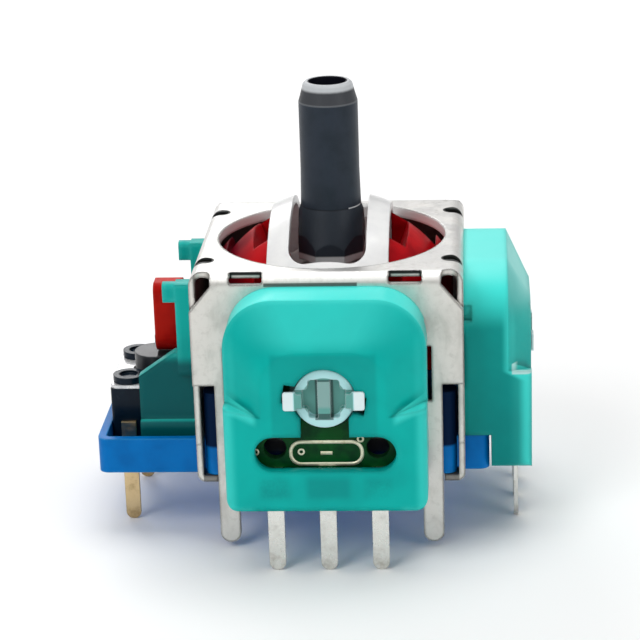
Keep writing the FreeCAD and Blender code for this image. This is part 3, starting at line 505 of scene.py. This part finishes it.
def redPlastic(place):  # deep red dome with a pale shield by the lever; painted shade darkens the dome towards the cage's sides, and the paddle is painted a brighter red as the lit end of the same moulding, with painted highlights on its edges
    look = redLook
    rounded = place.softEdge(look["edgeRadius"])
    cloud = place.noise(look["cloudScale"], detail=3)
    fine = place.noise(look["grainScale"], detail=2)
    relief = look["cloudHeight"] * cloud + look["grainHeight"] * fine
    mottle = stepUp(cloud, *look["cloud"])
    outside = stepUp(place.x, *look["paddleStart"])
    # painted shade on the dome towards the cage's sides
    shade = look["leftAmount"] * stepUp(place.x, *look["leftShade"])
    shade = shade + look["rightAmount"] * stepUp(place.x, *look["rightShade"])
    dome = tint(shade, tint(mottle, *look["dome"]), look["deep"])
    # the paddle outside the cage is painted a brighter red, as lit
    colour = tint(outside, dome, tint(mottle, *look["paddle"]))
    away = distance(place.x, place.y, place.z - pivotHeight)
    shield = stepUp(abs(place.x), *look["shieldWidth"]) * stepUp(away, *look["shieldRadius"])
    colour = tint(look["shieldAmount"] * shield * stepUp(place.z, *look["shieldHeight"]), colour, look["shield"])
    # painted highlight along the paddle's edges
    colour = tint(look["edgeAmount"] * outside * place.edge(rounded), colour, look["edge"])
    return {"Base Color": colour,
            "Roughness": look["roughness"] + look["cloudRougher"] * cloud + look["grainRougher"] * fine,
            "Normal": place.bump(relief, look["bumpStrength"], look["bumpDepth"], rounded)}


dress(material("redArm", redPlastic, redLook["finish"]), "lower_arm")

leverLook = {
    "body": (0.021, 0.030, 0.045), "deep": (0.015, 0.023, 0.034), "foot": (0.020, 0.025, 0.033),
    "cone": (0.050, 0.053, 0.060), "edge": (0.13, 0.15, 0.18), "line": (0.006, 0.008, 0.011),
    "glint": (0.62, 0.64, 0.66), "silver": (0.56, 0.57, 0.58), "bore": (0.004, 0.004, 0.010),
    "footTop": (12.5, 12.3), "footAmount": 0.6, "coneFoot": (17.58, 17.66),
    "edgeRadius": 0.10, "edgeAmount": 0.35,
    "seam": (12.4, 0.02, 0.05), "seamAmount": 0.6,
    "rub": ((1.25, 12.42), (0.3, 0.015), 0.03), "rubDepth": (0.0, -0.5),
    "rim": (18.18, 18.34), "shieldTop": (10.25, 10.15), "rimAmount": 0.85,
    "coneLine": (17.62, 0.02, 0.06), "coneLineAmount": 0.15, "silverTop": (11.0, 12.0),
    "boreSquared": (1.0, 0.92), "boreHeight": (11.0, 11.5),
    "cloudScale": 0.8, "cloud": (0.35, 0.7), "grainScale": 11.0, "dragScale": 2.2, "dragStretch": (3.0, 3.0, 0.35),
    "seamDepth": 2.0, "bumpStrength": 0.10, "bumpDepth": 0.05, "roughness": 0.36, "dragRougher": 0.12,
    "finish": {"IOR": 1.5, "Specular IOR Level": 0.2},
}


def leverPlastic(place):
    look = leverLook
    rounded = place.softEdge(look["edgeRadius"])
    cloud = place.noise(look["cloudScale"], detail=4)
    fine = place.noise(look["grainScale"], detail=3, rough=0.65)
    drag = place.noise(look["dragScale"], detail=4, rough=0.7, stretch=look["dragStretch"])
    colour = tint(stepUp(cloud, *look["cloud"]), look["body"], look["deep"])
    colour = tint(look["footAmount"] * stepUp(place.z, *look["footTop"]), colour, look["foot"])
    colour = tint(stepUp(place.z, *look["coneFoot"]), colour, look["cone"])
    # painted highlight along the edges
    colour = tint(look["edgeAmount"] * place.edge(rounded), colour, look["edge"])
    seam = stripe(place.z, *look["seam"]) ** 2.0
    colour = tint(look["seamAmount"] * seam, colour, look["line"])
    # painted glint: a short bright line beside the seam
    rub = patch(place.x, place.z, *look["rub"]) * stepUp(place.y, *look["rubDepth"])
    colour = tint(rub, colour, look["glint"])
    # painted highlights: a white ring at the top rim, a faint line at the cone's foot and a silver glint along the
    # foot's lowest edge
    ring = stepUp(place.z, *look["rim"]) + stepUp(place.z, *look["shieldTop"])
    ring = clamped(ring + look["coneLineAmount"] * stripe(place.z, *look["coneLine"]) ** 2.0)
    bright = tint(stepUp(place.z, *look["silverTop"]), look["silver"], look["glint"])
    colour = tint(look["rimAmount"] * ring, colour, bright)
    # painted shade inside the lever's bore
    inside = stepUp(squares(place.x, place.y), *look["boreSquared"]) * stepUp(place.z, *look["boreHeight"])
    colour = tint(inside, colour, look["bore"])
    relief = fine + drag - look["seamDepth"] * seam
    return {"Base Color": colour, "Roughness": look["roughness"] + look["dragRougher"] * drag,
            "Normal": place.bump(relief, look["bumpStrength"], look["bumpDepth"], rounded)}


dress(material("slateLever", leverPlastic, leverLook["finish"]), "lever")

boardLook = {
    "light": (0.001, 0.070, 0.012), "dark": (0.0, 0.036, 0.010), "cloudScale": 1.6, "cloud": (0.35, 0.7),
    "weaveScale": 7.0, "weaveStretch": (1.0, 1.0, 0.3), "edgeRadius": 0.05, "bumpStrength": 0.1, "bumpDepth": 0.04,
    "roughness": 0.30, "cloudRougher": 0.12, "finish": {"Specular IOR Level": 0.10},
}


def boardLaminate(place):
    look = boardLook
    rounded = place.softEdge(look["edgeRadius"])
    cloud = place.noise(look["cloudScale"], detail=4)
    weave = place.noise(look["weaveScale"], detail=2, stretch=look["weaveStretch"])
    return {"Base Color": tint(stepUp(cloud, *look["cloud"]), look["light"], look["dark"]),
            "Roughness": look["roughness"] + look["cloudRougher"] * cloud,
            "Normal": place.bump(weave, look["bumpStrength"], look["bumpDepth"], rounded)}


dress(material("boardGreen", boardLaminate, boardLook["finish"]), "front_board", "side_board")

rotorLook = {
    "ring": (0.47, 0.80, 0.82), "inner": (0.12, 0.37, 0.33), "bar": (0.24, 0.42, 0.40), "lug": (0.76, 0.90, 0.91),
    "dark": (0.03, 0.085, 0.080), "edge": (0.66, 0.74, 0.76),
    "ringRadius": (1.06, 1.00), "shoulderAt": ((1.12, 5.6), (0.24, 0.42), 0.05),
    "slotAt": ((0, 5.55), (0.40, 0.98), 0.06), "slotAmount": 0.85,
    "barAt": ((0, 5.65), (0.3, 0.78), 0.03), "barShade": (5.25, 5.05), "lugStart": (1.40, 1.46),
    "edgeRadius": 0.10, "edgeSharp": (0.03, 0.3), "edgeAmount": 0.6,
    "cloudScale": 0.9, "grainScale": 7.0, "cloudHeight": 2.0, "bumpStrength": 0.08, "bumpDepth": 0.05,
    "roughness": 0.26, "cloudRougher": 0.10, "finish": {"Specular IOR Level": 0.3},
}


def rotorPlastic(along):
    def build(place):
        look = rotorLook
        u = getattr(place, along)
        rounded = place.softEdge(look["edgeRadius"])
        cloud = place.noise(look["cloudScale"], detail=3)
        relief = place.noise(look["grainScale"]) + look["cloudHeight"] * cloud
        far = distance(u, place.z - pivotHeight)
        colour = tint(stepUp(far, *look["ringRadius"]), look["ring"], look["inner"])
        colour = tint(patch(abs(u), place.z, *look["shoulderAt"]), colour, look["inner"])
        # painted shade in the rotor's slot
        colour = tint(look["slotAmount"] * patch(u, place.z, *look["slotAt"]), colour, look["dark"])
        bar = tint(stepUp(place.z, *look["barShade"]), look["bar"], look["inner"])
        colour = tint(patch(u, place.z, *look["barAt"]), colour, bar)
        # painted highlight along the edges
        colour = tint(look["edgeAmount"] * place.edge(rounded, *look["edgeSharp"]), colour, look["edge"])
        colour = tint(stepUp(abs(u), *look["lugStart"]), colour, look["lug"])
        return {"Base Color": colour, "Roughness": look["roughness"] + look["cloudRougher"] * cloud,
                "Normal": place.bump(relief, look["bumpStrength"], look["bumpDepth"], rounded)}
    return build


for spot, along in (("front", "x"), ("side", "y")):
    dress(material(f"{spot}Rotor", rotorPlastic(along), rotorLook["finish"]), f"{spot}_rotor")
print("mouldings dressed")

# Gold trace and plated holes on the boards, and the coil spring, grown with Geometry Nodes


def grow(name, inputs, build, mat):  # node group with named inputs, turned into one plain mesh
    tree = bpy.data.node_groups.new(name + "Nodes", "GeometryNodeTree")
    for label, value in inputs.items():
        kind = {tuple: "NodeSocketVector", int: "NodeSocketInt", float: "NodeSocketFloat"}[type(value)]
        tree.interface.new_socket(label, in_out="INPUT", socket_type=kind)
    tree.interface.new_socket("Geometry", in_out="OUTPUT", socket_type="NodeSocketGeometry")
    source = tree.nodes.new("NodeGroupInput")
    shape = build({label: Flow(tree, source.outputs[label]) for label in inputs})
    shape = shape.node("GeometryNodeRealizeInstances", None, {"Geometry": shape})
    shape = shape.node("GeometryNodeSetMaterial", None, {"Geometry": shape, "Material": mat})
    tree.links.new(shape.socket, tree.nodes.new("NodeGroupOutput").inputs[0])
    blank = bpy.data.objects.new(name + "Blank", bpy.data.meshes.new(name + "Blank"))
    bpy.context.scene.collection.objects.link(blank)
    modifier = blank.modifiers.new("grow", "NODES")
    modifier.node_group = tree
    for item in tree.interface.items_tree:
        if item.in_out == "INPUT":
            modifier[item.identifier] = inputs[item.name]
    bpy.context.view_layer.update()
    mesh = bpy.data.meshes.new_from_object(blank.evaluated_get(bpy.context.evaluated_depsgraph_get()))
    blank.modifiers.clear()
    bpy.data.objects.remove(blank)
    mesh.name = name
    grown = bpy.data.objects.new(name, mesh)
    bpy.context.scene.collection.objects.link(grown)
    return grown


def joined(*flows):
    merge = flows[0].tree.nodes.new("GeometryNodeJoinGeometry")
    for flow in flows:
        flow.tree.links.new(flow.socket, merge.inputs[0])
    return Flow(flows[0].tree, merge.outputs[0])


def swept(curve, section):
    return curve.node("GeometryNodeCurveToMesh", None, {"Curve": curve, "Profile Curve": section, "Fill Caps": True})


def ribbon(curve, width, height):  # curve swept with a flat rectangular section
    return swept(curve, width.node("GeometryNodeCurvePrimitiveQuadrilateral", {"mode": "RECTANGLE"},
                                   {"Width": width, "Height": height}))


goldLook = {
    "bright": (0.84, 0.81, 0.62), "dull": (0.64, 0.59, 0.38), "wornScale": 2.5, "worn": (0.4, 0.7),
    "roughness": 0.30, "wornRougher": 0.2, "finish": {"Metallic": 0.5},
}


def goldTint(place):
    look = goldLook
    worn = place.noise(look["wornScale"], detail=4, rough=0.7)
    return {"Base Color": tint(stepUp(worn, *look["worn"]), look["bright"], look["dull"]),
            "Roughness": look["roughness"] + look["wornRougher"] * worn}


goldTrace = material("goldTrace", goldTint, goldLook["finish"])
boardFace = -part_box("front_board")[0][1]
traceLook = {
    "Length": 3.4 * mm, "Height": 1.12 * mm, "Corner": 0.5 * mm, "Width": 0.17 * mm, "Thickness": 0.06 * mm,
    "Middle": (0.0, 2.62 * mm, boardFace), "Ring radius": 0.13 * mm, "Ring width": 0.09 * mm,
    "Upper ring": (1.63 * mm, 3.32 * mm, boardFace), "First ring": (-1.2 * mm, 2.68 * mm, boardFace),
    "Ring step": (-2.18 * mm, 0.0, 0.0), "Dash start": (-0.28 * mm, 0.0, 0.0), "Dash end": (0.28 * mm, 0.0, 0.0),
    "Turn": (math.pi / 2, 0.0, 0.0),
}


def traceShape(given):  # drawn flat, then stood up against the board's face
    make = given["Length"].node
    loop = make("GeometryNodeCurvePrimitiveQuadrilateral", {"mode": "RECTANGLE"},
                {"Width": given["Length"], "Height": given["Height"]})
    loop = make("GeometryNodeFilletCurve", {"mode": "POLY"}, {"Curve": loop, "Count": 8, "Radius": given["Corner"]})
    dash = make("GeometryNodeCurvePrimitiveLine", None, {"Start": given["Dash start"], "End": given["Dash end"]})
    loop, dash = (ribbon(curve, given["Width"], given["Thickness"]) for curve in (loop, dash))
    loop = make("GeometryNodeTransform", None, {"Geometry": joined(loop, dash), "Translation": given["Middle"]})
    ring = make("GeometryNodeCurvePrimitiveCircle", {"mode": "RADIUS"},
                {"Resolution": 20, "Radius": given["Ring radius"]})
    ring = ribbon(ring, given["Ring width"], given["Thickness"])
    lower = make("GeometryNodeMeshLine", {"mode": "OFFSET"},
                 {"Count": 2, "Start Location": given["First ring"], "Offset": given["Ring step"]})
    upper = make("GeometryNodePoints", None, {"Count": 1, "Position": given["Upper ring"]})
    rings = joined(*(make("GeometryNodeInstanceOnPoints", None, {"Points": spots, "Instance": ring})
                     for spots in (lower, upper)))
    return make("GeometryNodeTransform", None, {"Geometry": joined(loop, rings), "Rotation": given["Turn"]})


frontTrace = grow("frontTrace", traceLook, traceShape, goldTrace)
sideTrace = grow("sideTrace", {**traceLook, "Turn": (math.pi / 2, 0.0, math.pi / 2)}, traceShape, goldTrace)
for trace in (frontTrace, sideTrace):
    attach(trace, "frame")

springLook = {
    "Turns": 5.0, "Radius": 1.75 * mm, "Wire": 0.14 * mm, "Rise": 1.96 * mm, "Place": (0.0, 0.0, 0.77 * mm),
    "Steps": 40,
}


def springShape(given):
    make = given["Radius"].node
    coil = make("GeometryNodeCurveSpiral", None,
                {"Resolution": given["Steps"], "Rotations": given["Turns"], "Start Radius": given["Radius"],
                 "End Radius": given["Radius"], "Height": given["Rise"]})
    wire = make("GeometryNodeCurvePrimitiveCircle", {"mode": "RADIUS"}, {"Resolution": 10, "Radius": given["Wire"]})
    return make("GeometryNodeTransform", None, {"Geometry": swept(coil, wire), "Translation": given["Place"]})


coilSpring = grow("coilSpring", springLook, springShape, sheetSteel)
coilSpring.data.shade_smooth()
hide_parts("return_spring")
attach(coilSpring, "frame")
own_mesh(coilSpring)
print("grown pieces ready")

# Smooth shading on the curved faces of the carried-over solids
for node in nodes.values():
    node.data.shade_smooth()

# Studio, in metres

studio = {
    "azimuth": 3.67, "elevation": 18.84, "roll": -1.74, "distance": 0.1196, "lens": 133.0, "shift": (-0.023, 0.0068),
    "target": (0.0, 0.0, 0.006), "floor": -0.00336, "floorHalf": 2.0,
    "lamps": [  # name, place, size, power
        ("keyLamp", (-0.16, -0.20, 0.24), 0.16, 0.38),
        ("fillLamp", (0.24, -0.18, 0.12), 0.18, 0.16),
        ("topLamp", (0.02, 0.04, 0.30), 0.20, 0.42),
        ("backLamp", (-0.10, 0.26, 0.16), 0.14, 0.22),
    ],
    "lampTarget": (0, 0, 0.005), "ambient": 0.34,
    "reflectedLow": 0.30, "reflectedRise": 0.60, "riseHeight": (0.0, 0.75),
}


def cameraTurn(azimuth, elevation, roll):
    a, e, r = (math.radians(v) for v in (azimuth, elevation, roll))
    back = Vector((math.sin(a) * math.cos(e), -math.cos(a) * math.cos(e), math.sin(e)))
    right = Vector((math.cos(a), math.sin(a), 0))
    up = back.cross(right)
    across = math.cos(r) * right + math.sin(r) * up
    upright = math.cos(r) * up - math.sin(r) * right
    return across, upright, back


across, upright, back = cameraTurn(studio["azimuth"], studio["elevation"], studio["roll"])
camera = bpy.data.objects.new("camera", bpy.data.cameras.new("camera"))
bpy.context.scene.collection.objects.link(camera)
stand = Vector(studio["target"]) + back * studio["distance"]
camera.matrix_world = Matrix.Translation(stand) @ Matrix((across, upright, back)).transposed().to_4x4()
camera.data.lens = studio["lens"]
camera.data.sensor_width = 36
camera.data.shift_x, camera.data.shift_y = studio["shift"]
camera.data.clip_start = 0.005
bpy.context.scene.camera = camera

for name, spot, size, power in studio["lamps"]:
    light = bpy.data.lights.new(name, "AREA")
    light.shape = "SQUARE"
    light.size = size
    light.energy = power
    lamp = bpy.data.objects.new(name, light)
    bpy.context.scene.collection.objects.link(lamp)
    away = Vector(spot) - Vector(studio["lampTarget"])
    lamp.matrix_world = Matrix.Translation(Vector(spot)) @ away.to_track_quat("Z", "Y").to_matrix().to_4x4()


def rays(tree, kind):  # 1 for rays of one kind
    return Flow(tree, tree.nodes.new("ShaderNodeLightPath").outputs[f"Is {kind} Ray"])


world = bpy.data.worlds.new("studioWorld")
bpy.context.scene.world = world
world.use_nodes = True
sky = world.node_tree
sky.nodes.clear()
sweep = sky.nodes.new("ShaderNodeSeparateXYZ")
sky.links.new(sky.nodes.new("ShaderNodeTexCoord").outputs["Generated"], sweep.inputs[0])
cameraRay, glossyRay = rays(sky, "Camera"), rays(sky, "Glossy")
height = Flow(sky, sweep.outputs[2])
reflected = studio["reflectedLow"] + studio["reflectedRise"] * stepUp(height, *studio["riseHeight"])
strength = cameraRay + glossyRay * (1 - cameraRay) * reflected
strength = strength + studio["ambient"] * clamped(1 - cameraRay - glossyRay)
glow = sky.nodes.new("ShaderNodeBackground")
glow.inputs["Color"].default_value = (1, 1, 1, 1)
sky.links.new(strength.socket, glow.inputs["Strength"])
sky.links.new(glow.outputs[0], sky.nodes.new("ShaderNodeOutputWorld").inputs[0])

floorMesh = bpy.data.meshes.new("studioFloor")
side = studio["floorHalf"]
floorMesh.from_pydata([(-side, -side, 0), (side, -side, 0), (side, side, 0), (-side, side, 0)], [], [(0, 1, 2, 3)])
floorMesh.transform(Matrix.Translation((0, 0, studio["floor"])))
floor = bpy.data.objects.new("studioFloor", floorMesh)
bpy.context.scene.collection.objects.link(floor)

floorLook = {
    "pale": (0.98, 0.98, 0.98), "mottled": (0.96, 0.96, 0.96), "black": (0.0, 0.0, 0.0), "white": (1.0, 1.0, 1.0),
    "cloudScale": 0.02, "cloud": (0.3, 0.7), "runOut": (40.0, 110.0), "roughness": 0.7,
    "finish": {"Emission Strength": 1.0},
}


def paleFloor(place):  # runs out to plain white away from the object
    look = floorLook
    seen = clamped(rays(place.tree, "Camera") + rays(place.tree, "Glossy") + rays(place.tree, "Transmission"))
    far = stepUp(distance(place.x, place.y), *look["runOut"]) * seen
    near = tint(stepUp(place.noise(look["cloudScale"]), *look["cloud"]), look["pale"], look["mottled"])
    return {"Base Color": tint(far, near, look["black"]), "Emission Color": tint(far, look["black"], look["white"]),
            "Roughness": look["roughness"]}


floorMesh.materials.append(material("paleFloor", paleFloor, floorLook["finish"]))
bpy.context.scene.view_settings.view_transform = "Standard"
print("studio ready")
